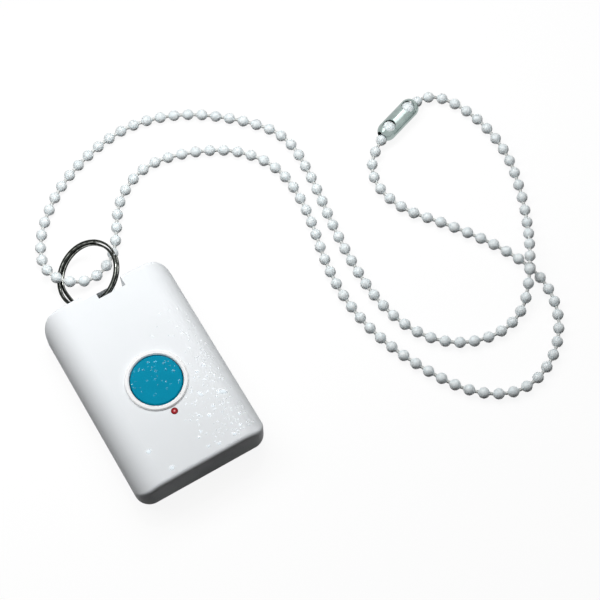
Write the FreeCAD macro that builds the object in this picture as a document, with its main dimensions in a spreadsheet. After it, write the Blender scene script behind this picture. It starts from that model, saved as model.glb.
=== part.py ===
import FreeCAD, Part
import math
import os
import Sketcher
from FreeCAD import Matrix, Placement, Rotation, Vector

# Panic button pendant on a bead chain, in millimetres. The rear cover lies on the surface at z = 0,
# +Y points to the lanyard lug and the ring, and +Z is the pressed face. The origin is the middle of
# the rear cover's flat.

doc = FreeCAD.newDocument("PanicButton")

# Driving dimensions. Lengths and diameters are millimetres, angles are degrees, and a name that ends
# in Level is a height above the surface.
sizes = {
    # Housing
    "bodyLength": 60.4,
    "bodyWidth": 40.0,
    "bodyThick": 13.8,
    "cornerRound": 4.4,
    "longRound": 8.0,
    "crownTrim": 0.06,
    "endRound": 1.2,
    "platePlay": 0.2,
    "rearRound": 2.5,
    "partingLevel": 4.0,
    "sideWall": 1.6,
    "frontWall": 1.6,
    "rearWall": 1.5,
    "dividerSet": 6.1,
    "lipWall": 1.0,
    "lipRise": 1.4,
    "lipGap": 0.2,
    "sealWidth": 0.7,
    "sealThick": 0.6,
    "sealGap": 0.05,
    "dryInset": 5.5,
    "dryRoof": 0.4,
    "dryStep": 0.9,
    "cutOver": 2.0,
    # Screws
    "screwInset": 6.6,
    "screwFarSet": 4.7,
    "screwShank": 1.95,
    "screwHead": 3.6,
    "screwHeadThick": 1.4,
    "screwLength": 8.4,
    "screwBevel": 0.3,
    "screwPoint": 0.8,
    "screwGap": 0.1,
    "driveHalf": 0.25,
    "driveReach": 1.0,
    "boardScrewLength": 4.8,
    "pilotSpare": 0.6,
    "bossWall": 1.35,
    "bossSeatLevel": 5.0,
    "headSink": 0.4,
    # Lanyard lug
    "lugLeft": -10.8,
    "lugRight": 7.2,
    "lugDepth": 4.5,
    "lugGap": 0.15,
    "slotDepth": 3.5,
    "frontSlotLeft": -2.2,
    "frontSlotRight": 6.2,
    "frontSlotLevel": 5.0,
    "rearSlotLeft": -9.8,
    "rearSlotRight": 0.4,
    "rearSlotLevel": 9.8,
    "noseLeft": -4.1,
    "noseRight": 2.2,
    "noseRound": 5.0,
    "bridgeLeft": -5.3,
    "footRight": 4.1,
    "noseReach": 1.0,
    "noseLow": 2.4,
    "noseBrow": 7.4,
    "noseSetBack": 1.8,
    # Button, bezel and boot
    "buttonPlace": -3.0,
    "capDiameter": 14.5,
    "capGap": 0.3,
    "capProud": 0.4,
    "capTop": 1.3,
    "capSkirt": 1.0,
    "capFlange": 15.8,
    "capFlangeThick": 0.75,
    "capFlangeGap": 0.05,
    "capBoss": 3.5,
    "capBevel": 0.25,
    "capPlay": 0.05,
    "bezelWall": 0.6,
    "bezelRim": 1.35,
    "bezelProud": 0.6,
    "bezelBevel": 0.3,
    "bezelReach": 2.6,
    "bezelFit": 0.05,
    "bootWall": 0.3,
    "bootRim": 0.7,
    "bootGap": 0.1,
    "bootCrown": 10.0,
    "bootFlare": 1.3,
    "bootSet": 0.35,
    "bootFoot": 2.4,
    "bootEase": 0.15,
    # Circuit board and what is on it
    "boardLevel": 5.6,
    "boardThick": 1.0,
    "boardSide": 1.6,
    "boardFarSet": 1.5,
    "boardRound": 1.2,
    "boardHoleGap": 0.3,
    "postNearSet": 6.5,
    "postFarSet": 9.1,
    "switchSide": 6.0,
    "switchTall": 3.2,
    "switchPlate": 0.3,
    "switchTab": 0.25,
    "switchRound": 0.4,
    "tabHalf": 1.0,
    "tabGap": 0.02,
    "tabDrop": 1.4,
    "legReach": 1.2,
    "legWide": 0.7,
    "legThick": 0.25,
    "legSpread": 2.25,
    "plungerDiameter": 3.5,
    "plungerFlange": 4.4,
    "plungerTop": 4.0,
    "plungerFit": 0.1,
    "plungerBevel": 0.15,
    "plungerSeat": 2.05,
    "domeSeat": 1.0,
    "domeRise": 1.0,
    "domeSheet": 0.12,
    "domeSkirt": 0.25,
    "domeCrown": 1.15,
    "controllerX": -7.6,
    "controllerSet": 9.6,
    "controllerSide": 6.5,
    "controllerTall": 1.2,
    "transmitterX": 7.4,
    "transmitterSet": 10.8,
    "transmitterWide": 5.0,
    "transmitterDeep": 6.4,
    "transmitterTall": 1.1,
    "chipRound": 0.2,
    "crystalX": 6.2,
    "crystalSet": 4.2,
    "crystalWide": 5.0,
    "crystalDeep": 3.2,
    "crystalTall": 0.9,
    "crystalRound": 1.2,
    "capacitorWide": 1.6,
    "capacitorDeep": 0.8,
    "capacitorTall": 0.8,
    "capacitorGap": 0.65,
    "capacitorStep": 2.5,
    "capacitorEnd": 8.0,
    "antennaSet": 1.4,
    "antennaNearSet": 12.0,
    "antennaFarSet": 9.6,
    "antennaTall": 2.8,
    "antennaStrip": 1.0,
    "antennaFeed": 6.0,
    "antennaSheet": 0.4,
    "lensSet": 0.45,
    "lensDiameter": 1.9,
    "lensFlange": 2.4,
    "lensProud": 0.1,
    "lensFit": 0.05,
    "lensBevel": 0.15,
    "lensFlangeThick": 1.0,
    "lensGap": 0.3,
    "diodeWide": 2.0,
    "diodeDeep": 1.3,
    "diodeTall": 0.8,
    # Coin cell, its holder and contacts
    "cellPlace": -4.0,
    "cellDiameter": 20.0,
    "cellThick": 3.2,
    "cellRound": 0.3,
    "cellRim": 0.8,
    "cellRimDrop": 0.2,
    "thumbHalf": 4.5,
    "clipGap": 0.1,
    "holderGap": 0.15,
    "holderWall": 1.45,
    "clipThick": 0.3,
    "clipWide": 6.0,
    "contactThick": 0.4,
    "contactDiameter": 8.0,
    # Split ring
    "ringOuter": 20.6,
    "ringBand": 1.3,
    "ringWire": 0.9,
    "ringSpread": 0.35,
    "ringStepStart": 25.0,
    "ringStepTurn": 50.0,
    "ringSeatX": -1.24,
    "ringSeatSet": 1.33,
    "ringSeatRise": 7.46,
    # Bead chain
    "beadDiameter": 3.3,
    "cordDiameter": 1.0,
    "beadCount": 150,
    "endBall": 4.6,
    # Chain connector
    "sleeveDiameter": 5.8,
    "sleeveSheet": 0.35,
    "sleeveLength": 16.2,
    "sleeveWindow": 3.9,
    "sleeveMouth": 3.6,
    "seamTurn": 45.0,
    "seamStep": 21.0,
    "seamWide": 0.3,
    "seamSink": 0.2,
}

sheet = doc.addObject("Spreadsheet::Sheet", "Sizes")
for row, (alias, number) in enumerate(sizes.items(), 1):
    sheet.set("A%d" % row, alias)
    sheet.set("B%d" % row, str(number))
    sheet.setAlias("B%d" % row, alias)
doc.recompute()


def bound(text):
    """The expression with each size's name led by the sheet's name."""
    words = text.replace("(", " ( ").replace(")", " ) ").split()
    return " ".join("Sizes." + word if word in sizes else word for word in words)


def value(text):
    """The number that an expression in the sheet's names gives."""
    return float(sheet.evalExpression(text))


def subpart(name, x="0", y="0", z="0"):
    """A body whose label names its file, placed by three expressions."""
    body = doc.addObject("PartDesign::Body", name)
    body.Label = name
    for axis, text in (("x", x), ("y", y), ("z", z)):
        body.setExpression(".Placement.Base." + axis, bound(text))
    return body


def sketch(body, name, role, level=None):
    """A sketch on one of the body's origin planes, raised along the plane's normal."""
    item = body.newObject("Sketcher::SketchObject", name)
    support = [feature for feature in body.Origin.OriginFeatures if feature.Role == role][0]
    item.AttachmentSupport = [(support, "")]
    item.MapMode = "FlatFace"
    if level:
        item.setExpression(".AttachmentOffset.Base.z", bound(level))
    return item


def tie(item, constraint, name, text):
    """A constraint whose size follows an expression."""
    index = item.addConstraint(constraint)
    item.renameConstraint(index, name)
    item.setExpression("Constraints." + name, bound(text))


def circle(item, tag, x, y, diameter):
    centre = Vector(value(x), value(y), 0)
    index = item.addGeometry(Part.Circle(centre, Vector(0, 0, 1), value(diameter) / 2))
    tie(item, Sketcher.Constraint("Diameter", index, value(diameter)), tag + "Diameter", diameter)
    tie(item, Sketcher.Constraint("DistanceX", -1, 1, index, 3, centre.x), tag + "X", x)
    tie(item, Sketcher.Constraint("DistanceY", -1, 1, index, 3, centre.y), tag + "Y", y)


def polygon(item, tag, corners):
    """A closed outline of straight edges, each corner held by its two distances."""
    points = [Vector(value(x), value(y), 0) for x, y in corners]
    count = len(points)
    lines = [item.addGeometry(Part.LineSegment(points[i], points[(i + 1) % count]))
             for i in range(count)]
    for i in range(count):
        item.addConstraint(Sketcher.Constraint("Coincident", lines[i], 2, lines[(i + 1) % count], 1))
    for i, (x, y) in enumerate(corners):
        tie(item, Sketcher.Constraint("DistanceX", -1, 1, lines[i], 1, points[i].x),
            "%sX%d" % (tag, i), x)
        tie(item, Sketcher.Constraint("DistanceY", -1, 1, lines[i], 1, points[i].y),
            "%sY%d" % (tag, i), y)


def rectangle(item, tag, left, right, low, high):
    polygon(item, tag, [(left, low), (right, low), (right, high), (left, high)])


def rounded(item, tag, left, right, low, high, corner):
    """A rectangle whose four corners are equal tangent arcs."""
    a, b, c, d, q = [value(text) for text in (left, right, low, high, corner)]
    sides = [(a + q, c, b - q, c), (b, c + q, b, d - q), (b - q, d, a + q, d), (a, d - q, a, c + q)]
    centres = [(b - q, c + q), (b - q, d - q), (a + q, d - q), (a + q, c + q)]
    loop = []
    for i, (side, centre) in enumerate(zip(sides, centres)):
        line = Part.LineSegment(Vector(side[0], side[1], 0), Vector(side[2], side[3], 0))
        start = math.radians(90 * (i - 1))
        ring = Part.Circle(Vector(centre[0], centre[1], 0), Vector(0, 0, 1), q)
        loop.append(item.addGeometry(line))
        loop.append(item.addGeometry(Part.ArcOfCircle(ring, start, start + math.pi / 2)))
    for i in range(8):
        item.addConstraint(Sketcher.Constraint("Tangent", loop[i], 2, loop[(i + 1) % 8], 1))
    for i, kind in zip((0, 2, 4, 6), ("Horizontal", "Vertical", "Horizontal", "Vertical")):
        item.addConstraint(Sketcher.Constraint(kind, loop[i]))
    for i in (3, 5, 7):
        item.addConstraint(Sketcher.Constraint("Equal", loop[1], loop[i]))
    tie(item, Sketcher.Constraint("Radius", loop[1], q), tag + "Round", corner)
    tie(item, Sketcher.Constraint("DistanceX", -1, 1, loop[6], 1, a), tag + "Left", left)
    tie(item, Sketcher.Constraint("DistanceX", -1, 1, loop[2], 1, b), tag + "Right", right)
    tie(item, Sketcher.Constraint("DistanceY", -1, 1, loop[0], 1, c), tag + "Low", low)
    tie(item, Sketcher.Constraint("DistanceY", -1, 1, loop[4], 1, d), tag + "High", high)


def added(body, kind, name):
    """A new feature at the end of the body, which counts only once it is measured."""
    tip = body.Tip
    feature = doc.addObject("PartDesign::" + kind, name)
    body.addObject(feature)
    body.Tip = tip
    return feature


def measured(body, feature, sign):
    """Recomputes the document and checks that the feature added or removed material."""
    before = body.Tip.Shape.Volume if body.Tip and not body.Tip.Shape.isNull() else 0.0
    doc.recompute()
    if feature.Shape.isNull():
        raise ValueError("%s in %s gave no shape" % (feature.Label, body.Label))
    body.Tip = feature
    change = feature.Shape.Volume - before
    if change * sign <= 0:
        raise ValueError("%s in %s changed the volume by %.3f" % (feature.Label, body.Label, change))
    return feature


def pad(body, name, profile, length, both=False):
    feature = added(body, "Pad", name)
    feature.Profile = profile
    feature.setExpression("Length", bound(length))
    feature.Midplane = both
    return measured(body, feature, 1)


def pocket(body, name, profile, length=None, flip=False):
    """A pocket, right through where no length is given. Flip sends it along the sketch's normal."""
    feature = added(body, "Pocket", name)
    feature.Profile = profile
    feature.Reversed = flip
    if length:
        feature.setExpression("Length", bound(length))
    else:
        feature.Type = 1
    return measured(body, feature, -1)


def revolve(body, name, profile):
    """Turns a half section about the body's upright axis."""
    feature = added(body, "Revolution", name)
    feature.Profile = profile
    feature.ReferenceAxis = (profile, ["V_Axis"])
    feature.Angle = 360.0
    return measured(body, feature, 1)


def middle(edge):
    return edge.valueAt((edge.FirstParameter + edge.LastParameter) / 2)


def upright(edge):
    ends = [vertex.Point for vertex in edge.Vertexes]
    straight = edge.Curve.TypeId == "Part::GeomLine"
    return straight and abs(ends[0].x - ends[-1].x) + abs(ends[0].y - ends[-1].y) < 1e-6


def fillet(body, name, radius, chosen):
    """Rounds the edges of the last feature that the test picks."""
    base = body.Tip
    names = ["Edge%d" % i for i, edge in enumerate(base.Shape.Edges, 1) if chosen(edge)]
    feature = added(body, "Fillet", name)
    feature.Base = (base, names)
    feature.setExpression("Radius", bound(radius))
    return measured(body, feature, -1)


def turned(name, corners, x="0", y="0"):
    """A turned sub-part from its half section, as radius and height pairs."""
    body = subpart(name, x, y)
    profile = sketch(body, name + "_section", "XZ_Plane")
    polygon(profile, "p", corners)
    revolve(body, name + "_turn", profile)
    return body


def same(a, b):
    return abs(a - b) < 1e-4


def crowned_blank(body, width, near, far, low, high, crown, corner):
    """A block with large rounds along its two upper long edges, cut to a plan with round corners. It
    starts a hair too wide, so that the plan's round corners cross the long rounds."""
    profile = sketch(body, body.Label + "_block", "XY_Plane", low)
    half = "(%s) / 2" % width
    wide = "(%s + crownTrim)" % half
    rectangle(profile, "b", "-1 * " + wide, wide, near, far)
    pad(body, body.Label + "_blank", profile, "(%s) - (%s)" % (high, low))
    top = value(high)
    side = value(wide)
    fillet(body, body.Label + "_crown", crown,
           lambda edge: same(middle(edge).z, top) and same(abs(middle(edge).x), side))
    frame = sketch(body, body.Label + "_plan", "XY_Plane", low)
    rectangle(frame, "f", "-1 * (%s)" % width, width, "(%s) - cutOver" % near, "(%s) + cutOver" % far)
    rounded(frame, "r", "-1 * " + half, half, near, far, corner)
    pocket(body, body.Label + "_corners", frame, flip=True)


# Front cover
frontInner = "bodyThick - frontWall"
divider = "(bodyLength / 2 - dividerSet)"
innerWidth = "bodyWidth - 2 * sideWall"
innerNear = "sideWall - bodyLength / 2"
innerCorner = "cornerRound - sideWall"
bezelInner = "capDiameter + 2 * capGap"
bezelSkirt = "capDiameter + 2 * capGap + 2 * bezelWall"
bossDiameter = "screwShank + 2 * screwGap + 2 * bossWall"
pilotHole = "screwShank + screwGap"
clearHole = "screwShank + 2 * screwGap"
boardHalf = "(bodyWidth / 2 - sideWall - boardSide)"
boardNear = "(sideWall + boardSide - bodyLength / 2)"
boardFar = "(bodyLength / 2 - dividerSet - boardFarSet)"
coverPlaces = [(sx + " * (bodyWidth / 2 - screwInset)", y) for sx in ("1", "-1")
               for y in ("screwInset - bodyLength / 2", divider + " - screwFarSet")]
postPlaces = [("0", boardNear + " + postNearSet"), ("0", boardFar + " - postFarSet")]
lensPlace = "(buttonPlace - capDiameter / 2 - capGap - bezelRim - lensDiameter / 2 - lensSet)"

cavity = subpart("front_cavity")
crowned_blank(cavity, innerWidth, innerNear, divider, "partingLevel - 1", frontInner,
              "longRound - sideWall", innerCorner)

front = subpart("front_cover")
crowned_blank(front, "bodyWidth", "-1 * bodyLength / 2", "bodyLength / 2", "partingLevel", "bodyThick",
              "longRound", "cornerRound")
cornerLine = value("bodyLength / 2 - cornerRound")
roundLine = value("bodyThick - longRound")
fillet(front, "EndRounds", "endRound",
       lambda edge: middle(edge).z > roundLine and abs(middle(edge).y) > cornerLine + 1e-3
       and not upright(edge))

hollow = added(front, "Boolean", "Hollow")
hollow.Type = "Cut"
hollow.setObjects([cavity])
measured(front, hollow, -1)

# Dry pockets beside the lug
dry = sketch(front, "DryPockets", "XY_Plane", "partingLevel")
dryFar = "bodyLength / 2 - sideWall"
dryNear = divider + " + sideWall"
rectangle(dry, "right", "lugRight + sideWall", "bodyWidth / 2 - dryInset", dryNear, dryFar)
rectangle(dry, "left", "dryInset - bodyWidth / 2", "lugLeft - sideWall", dryNear, dryFar)
pocket(front, "DryPocketCut", dry, "bodyThick - frontWall - dryRoof - partingLevel", flip=True)

# Lug block, which fills the notch of the rear cover
block = sketch(front, "LugPlan", "XY_Plane", "0")
rectangle(block, "b", "lugLeft", "lugRight", "bodyLength / 2 - lugDepth", "bodyLength / 2")
pad(front, "LugBlock", block, frontInner + " + platePlay")
endLine = value("bodyLength / 2")
fillet(front, "LugRound", "rearRound",
       lambda edge: same(middle(edge).z, 0) and same(middle(edge).y, endLine))
slotNear = "bodyLength / 2 - slotDepth"
slotFar = "bodyLength / 2 + noseReach + cutOver"
frontSlot = sketch(front, "FrontSlot", "XY_Plane", "frontSlotLevel")
rectangle(frontSlot, "s", "frontSlotLeft", "frontSlotRight", slotNear, slotFar)
pocket(front, "FrontSlotCut", frontSlot, flip=True)
rearSlot = sketch(front, "RearSlot", "XY_Plane", "rearSlotLevel")
rectangle(rearSlot, "s", "rearSlotLeft", "rearSlotRight", slotNear, slotFar)
pocket(front, "RearSlotCut", rearSlot)

# The nose that the ring goes round, bridged to the face at the left and to the slot floor at the
# right
noseLine = "bodyLength / 2 + noseReach"
noseHalf = (value("noseRight") - value("noseLeft")) / 2
noseRadius = value("noseRound")
nosePlan = sketch(front, "NosePlan", "XY_Plane", "noseLow")
arcCentre = Vector(value("(noseRight + noseLeft) / 2"), value(noseLine), 0)
arcCentre.y += math.sqrt(noseRadius ** 2 - noseHalf ** 2)
reach = math.asin(noseHalf / noseRadius)
ringSide = Part.Circle(arcCentre, Vector(0, 0, 1), noseRadius)
arc = nosePlan.addGeometry(Part.ArcOfCircle(ringSide, -math.pi / 2 - reach, -math.pi / 2 + reach))
chord = nosePlan.addGeometry(Part.LineSegment(Vector(value("noseRight"), value(noseLine), 0),
                                              Vector(value("noseLeft"), value(noseLine), 0)))
nosePlan.addConstraint(Sketcher.Constraint("Coincident", arc, 2, chord, 1))
nosePlan.addConstraint(Sketcher.Constraint("Coincident", arc, 1, chord, 2))
nosePlan.addConstraint(Sketcher.Constraint("Horizontal", chord))
tie(nosePlan, Sketcher.Constraint("Radius", arc, noseRadius), "round", "noseRound")
tie(nosePlan, Sketcher.Constraint("DistanceX", -1, 1, chord, 1, value("noseRight")), "right", "noseRight")
tie(nosePlan, Sketcher.Constraint("DistanceX", -1, 1, chord, 2, value("noseLeft")), "left", "noseLeft")
tie(nosePlan, Sketcher.Constraint("DistanceY", -1, 1, chord, 1, value(noseLine)), "line", noseLine)
pad(front, "Nose", nosePlan, "bodyThick - noseLow")
bridge = sketch(front, "NoseBridge", "XY_Plane", "rearSlotLevel")
rectangle(bridge, "b", "bridgeLeft", "frontSlotLeft", "bodyLength / 2 - noseSetBack", noseLine)
pad(front, "NoseBridgePad", bridge, "bodyThick - rearSlotLevel")
foot = sketch(front, "NoseFoot", "XY_Plane", "noseLow")
rectangle(foot, "b", "rearSlotRight", "footRight", "bodyLength / 2 - noseSetBack", noseLine)
pad(front, "NoseFootPad", foot, "frontSlotLevel - noseLow")
slope = sketch(front, "NoseSlope", "YZ_Plane", "bridgeLeft - cutOver / 2")
polygon(slope, "s", [("bodyLength / 2 - noseSetBack", "bodyThick"),
                     ("bodyLength / 2 - noseSetBack", "bodyThick + cutOver"),
                     (slotFar, "bodyThick + cutOver"), (slotFar, "noseBrow"), (noseLine, "noseBrow")])
pocket(front, "NoseSlopeCut", slope, "frontSlotRight - bridgeLeft + cutOver / 2", flip=True)

# Bosses, posts and holes
bosses = sketch(front, "Bosses", "XY_Plane", "bossSeatLevel")
for i, (x, y) in enumerate(coverPlaces):
    circle(bosses, "b%d" % i, x, y, bossDiameter)
pad(front, "BossPads", bosses, "bodyThick - frontWall + platePlay - bossSeatLevel")
posts = sketch(front, "Posts", "XY_Plane", "boardLevel + boardThick")
for i, (x, y) in enumerate(postPlaces):
    circle(posts, "p%d" % i, x, y, bossDiameter)
pad(front, "PostPads", posts, "bodyThick - frontWall + platePlay - boardLevel - boardThick")
pilots = sketch(front, "Pilots", "XY_Plane", "bossSeatLevel")
for i, (x, y) in enumerate(coverPlaces + postPlaces):
    circle(pilots, "h%d" % i, x, y, pilotHole)
pilotDepth = "headSink + screwHeadThick + screwLength + pilotSpare - bossSeatLevel"
pocket(front, "PilotHoles", pilots, pilotDepth, flip=True)
faceHoles = sketch(front, "FaceHoles", "XY_Plane", "partingLevel")
circle(faceHoles, "button", "0", "buttonPlace", bezelSkirt + " + 2 * bezelFit")
circle(faceHoles, "lens", "0", lensPlace, "lensDiameter + 2 * lensFit")
pocket(front, "FaceHoleCut", faceHoles, flip=True)

# Rear cover
rear = subpart("rear_cover")
rearPlan = sketch(rear, "RearPlan", "XY_Plane", "0")
rounded(rearPlan, "r", "-1 * bodyWidth / 2", "bodyWidth / 2", "-1 * bodyLength / 2", "bodyLength / 2",
        "cornerRound")
pad(rear, "RearBlank", rearPlan, "partingLevel")
fillet(rear, "RearRounds", "rearRound", lambda edge: same(middle(edge).z, 0))
lipWidth = "(bodyWidth / 2 - sideWall - lipGap)"
lipNear = "sideWall + lipGap - bodyLength / 2"
lipFar = divider + " - lipGap"
lip = sketch(rear, "Lip", "XY_Plane", "rearWall")
rounded(lip, "r", "-1 * " + lipWidth, lipWidth, lipNear, lipFar, innerCorner + " - lipGap")
pad(rear, "LipPad", lip, "partingLevel + lipRise - rearWall")
tray = sketch(rear, "Tray", "XY_Plane", "rearWall")
trayWidth = "(bodyWidth / 2 - sideWall - lipGap - lipWall)"
rounded(tray, "r", "-1 * " + trayWidth, trayWidth, lipNear + " + lipWall", lipFar + " - lipWall",
        innerCorner + " - lipGap - lipWall")
pocket(rear, "TrayCut", tray, flip=True)
sealOut = "(sealWidth + 2 * sealGap)"
groove = sketch(rear, "SealGroove", "XY_Plane", "partingLevel - sealThick")
grooveWidth = "(bodyWidth / 2 - sideWall + sealGap)"
rounded(groove, "inner", "-1 * " + grooveWidth, grooveWidth, innerNear + " - sealGap",
        divider + " + sealGap", innerCorner + " + sealGap")
rounded(groove, "outer", "-1 * (%s + %s)" % (grooveWidth, sealOut), "%s + %s" % (grooveWidth, sealOut),
        innerNear + " - sealGap - " + sealOut, divider + " + sealGap + " + sealOut,
        innerCorner + " + sealGap + " + sealOut)
pocket(rear, "SealGrooveCut", groove, flip=True)
notch = sketch(rear, "LugNotch", "XY_Plane", "partingLevel")
rectangle(notch, "n", "lugLeft - lugGap", "lugRight + lugGap", "bodyLength / 2 - lugDepth - lugGap",
          "bodyLength / 2 + cutOver")
pocket(rear, "LugNotchCut", notch)
rearDry = sketch(rear, "RearDryPockets", "XY_Plane", "rearWall")
rearDryNear = dryNear + " + dryStep"
rectangle(rearDry, "right", "lugRight + sideWall", "bodyWidth / 2 - dryInset", rearDryNear, dryFar)
rectangle(rearDry, "left", "dryInset - bodyWidth / 2", "lugLeft - sideWall", rearDryNear, dryFar)
pocket(rear, "RearDryPocketCut", rearDry, flip=True)
rearBosses = sketch(rear, "RearBosses", "XY_Plane", "rearWall")
for i, (x, y) in enumerate(coverPlaces):
    circle(rearBosses, "b%d" % i, x, y, bossDiameter)
pad(rear, "RearBossPads", rearBosses, "bossSeatLevel - rearWall")
headHoles = sketch(rear, "HeadHoles", "XY_Plane", "0")
for i, (x, y) in enumerate(coverPlaces):
    circle(headHoles, "h%d" % i, x, y, "screwHead + 2 * screwGap")
pocket(rear, "HeadHoleCut", headHoles, "headSink + screwHeadThick", flip=True)
shankHoles = sketch(rear, "ShankHoles", "XY_Plane", "0")
for i, (x, y) in enumerate(coverPlaces):
    circle(shankHoles, "h%d" % i, x, y, clearHole)
pocket(rear, "ShankHoleCut", shankHoles, flip=True)

# Seal between the covers
seal = subpart("cover_gasket")
sealPlan = sketch(seal, "SealPlan", "XY_Plane", "partingLevel - sealThick")
sealWidthIn = "(bodyWidth / 2 - sideWall + 2 * sealGap)"
rounded(sealPlan, "inner", "-1 * " + sealWidthIn, sealWidthIn, innerNear + " - 2 * sealGap",
        divider + " + 2 * sealGap", innerCorner + " + 2 * sealGap")
rounded(sealPlan, "outer", "-1 * (%s + sealWidth)" % sealWidthIn, "%s + sealWidth" % sealWidthIn,
        innerNear + " - 2 * sealGap - sealWidth", divider + " + 2 * sealGap + sealWidth",
        innerCorner + " + 2 * sealGap + sealWidth")
pad(seal, "SealPad", sealPlan, "sealThick")


def screw_master(name, length):
    """One screw with its head's underside at z = 0, its shank upwards and a cross in its head."""
    body = subpart(name)
    section = sketch(body, name + "_section", "XZ_Plane")
    polygon(section, "s", [("0", "-1 * screwHeadThick"),
                           ("screwHead / 2 - screwBevel", "-1 * screwHeadThick"),
                           ("screwHead / 2", "-0.6 * screwHeadThick"), ("screwHead / 2", "0"),
                           ("screwShank / 2", "0"), ("screwShank / 2", length + " - screwPoint"),
                           ("screwBevel", length), ("0", length)])
    revolve(body, name + "_turn", section)
    cross = sketch(body, name + "_cross", "XY_Plane", "-1 * screwHeadThick")
    a, b, c, d = "driveHalf", "driveReach", "-1 * driveHalf", "-1 * driveReach"
    polygon(cross, "c", [(a, a), (a, b), (c, b), (c, a), (d, a), (d, c), (c, c), (c, d), (a, d), (a, c),
                         (b, c), (b, a)])
    pocket(body, name + "_drive", cross, "0.5 * screwHeadThick", flip=True)
    return body


def group(name, shapes):
    """Several like solids that share one sub-part."""
    item = doc.addObject("Part::Feature", name)
    item.Label = name
    item.Shape = Part.makeCompound(shapes)
    return item


def copies(master, places, level):
    shapes = []
    for x, y in places:
        shape = master.Shape.copy()
        shape.translate(Vector(value(x), value(y), value(level)))
        shapes.append(shape)
    return shapes


coverScrew = screw_master("cover_screw_pattern", "screwLength")
group("cover_screws", copies(coverScrew, coverPlaces, "headSink + screwHeadThick"))
boardScrew = screw_master("board_screw_pattern", "boardScrewLength")
group("board_screws", copies(boardScrew, postPlaces, "boardLevel"))

# Bezel, button cap and rubber boot, turned about the button's axis
bezelEnd = "bodyThick - bezelReach"
turned("button_bezel", [
    ("(%s) / 2" % bezelInner, bezelEnd),
    ("(%s) / 2" % bezelSkirt, bezelEnd),
    ("(%s) / 2" % bezelSkirt, "bodyThick"),
    ("(%s) / 2 + bezelRim" % bezelInner, "bodyThick"),
    ("(%s) / 2 + bezelRim" % bezelInner, "bodyThick + bezelProud - bezelBevel"),
    ("(%s) / 2 + bezelRim - bezelBevel" % bezelInner, "bodyThick + bezelProud"),
    ("(%s) / 2 + bezelBevel" % bezelInner, "bodyThick + bezelProud"),
    ("(%s) / 2" % bezelInner, "bodyThick + bezelProud - bezelBevel")], y="buttonPlace")
flangeTop = "bodyThick - bezelReach - capFlangeGap"
capLow = flangeTop + " - capFlangeThick"
bootPad = "boardLevel + boardThick + plungerTop + capPlay"
capFoot = bootPad + " + bootWall + bootGap"
capUnder = "bodyThick + capProud - capTop"
turned("button_cap", [
    ("0", capFoot),
    ("capBoss / 2", capFoot),
    ("capBoss / 2", capUnder),
    ("capDiameter / 2 - capSkirt", capUnder),
    ("capDiameter / 2 - capSkirt", capLow),
    ("capFlange / 2", capLow),
    ("capFlange / 2", flangeTop),
    ("capDiameter / 2", flangeTop),
    ("capDiameter / 2", "bodyThick + capProud - capBevel"),
    ("capDiameter / 2 - capBevel", "bodyThick + capProud"),
    ("0", "bodyThick + capProud")], y="buttonPlace")
bootRimIn = "capFlange / 2 + bootSet"
bootLow = "boardLevel + boardThick + bootFoot"
turned("button_membrane", [
    ("0", bootPad),
    ("bootCrown / 2", bootPad),
    ("bootCrown / 2 + bootFlare", bootLow),
    (bootRimIn + " + bootRim", bootLow),
    (bootRimIn + " + bootRim", frontInner),
    (bootRimIn, frontInner),
    (bootRimIn, bootLow + " + bootWall"),
    ("bootCrown / 2 + bootFlare + bootEase", bootLow + " + bootWall"),
    ("bootCrown / 2 + bootEase", bootPad + " + bootWall"),
    ("0", bootPad + " + bootWall")], y="buttonPlace")

# Push switch
boardTop = "boardLevel + boardThick"
wellDiameter = "plungerFlange + 4 * plungerFit"
switchBody = subpart("switch_body", y="buttonPlace")
switchPlan = sketch(switchBody, "SwitchPlan", "XY_Plane", boardTop)
switchHalf = "switchSide / 2"
rounded(switchPlan, "r", "-1 * " + switchHalf, switchHalf, "-1 * " + switchHalf, switchHalf, "switchRound")
pad(switchBody, "SwitchBlock", switchPlan, "switchTall")
well = sketch(switchBody, "SwitchWell", "XY_Plane", boardTop + " + domeSeat")
circle(well, "w", "0", "0", wellDiameter)
pocket(switchBody, "SwitchWellCut", well, flip=True)
switchFrame = subpart("switch_frame", y="buttonPlace")
plateHalf = "(switchSide / 2 + switchTab)"
plate = sketch(switchFrame, "PlatePlan", "XY_Plane", boardTop + " + switchTall")
rounded(plate, "r", "-1 * " + plateHalf, plateHalf, "-1 * " + switchHalf, switchHalf, "switchRound")
circle(plate, "hole", "0", "0", "plungerDiameter + 2 * plungerFit")
pad(switchFrame, "PlatePad", plate, "switchPlate")
tabs = sketch(switchFrame, "Tabs", "XY_Plane", boardTop + " + switchTall - tabDrop")
rectangle(tabs, "right", "switchSide / 2 + tabGap", plateHalf, "-1 * tabHalf", "tabHalf")
rectangle(tabs, "left", "-1 * " + plateHalf, "-1 * switchSide / 2 - tabGap", "-1 * tabHalf", "tabHalf")
pad(switchFrame, "TabPads", tabs, "tabDrop + switchPlate")
legs = []
for sx in (-1, 1):
    for sy in (-1, 1):
        near = value("switchSide / 2")
        leg = Part.makeBox(value("legReach"), value("legWide"), value("legThick"))
        leg.translate(Vector(near if sx > 0 else -near - value("legReach"),
                             sy * value("legSpread") - value("legWide") / 2 + value("buttonPlace"),
                             value(boardTop)))
        legs.append(leg)
group("switch_terminals", legs)
domeLow = boardTop + " + domeSeat"
domeTop = boardTop + " + domeSeat + domeRise"
turned("switch_dome", [
    ("0", domeTop + " - domeSheet"), ("domeCrown - domeSheet", domeTop + " - 2 * domeSheet"),
    ("plungerFlange / 2 - domeSkirt", domeLow), ("plungerFlange / 2", domeLow),
    ("domeCrown", domeTop + " - domeSheet"), ("0", domeTop)], y="buttonPlace")
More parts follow.
